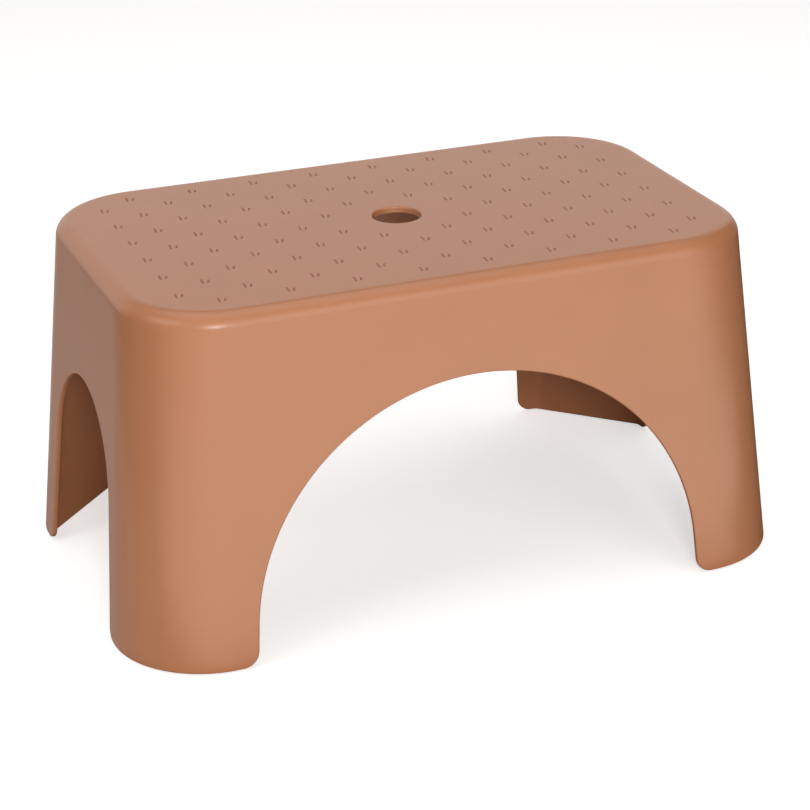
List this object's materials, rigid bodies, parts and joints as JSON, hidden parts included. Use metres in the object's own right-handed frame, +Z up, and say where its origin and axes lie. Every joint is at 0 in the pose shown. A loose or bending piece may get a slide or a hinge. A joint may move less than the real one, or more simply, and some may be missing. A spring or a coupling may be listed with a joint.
{
  "type": "bath stool",
  "caption": "Low moulded plastic bath stool: rounded oblong seat with a hand hole and sloping walls, arched openings on all sides forming corner legs with soft rubber foot pads.",
  "frame": {"origin": "on the floor, under the middle of the seat", "axes": "+X along the stool's length, +Y to the rear (the long side away from the camera in the picture), +Z up"},
  "size_m": [0.3998, 0.2576, 0.1987],
  "materials": {
    "shell": "satin moulded polypropylene, terracotta brown",
    "pad": "matte soft rubber, dark brown"
  },
  "bodies": {
    "root": {"moulded_shell": "shell", "foot_pad_rear_right": "pad", "foot_pad_rear_left": "pad", "foot_pad_front_left": "pad", "foot_pad_front_right": "pad"}
  },
  "joints": []
}
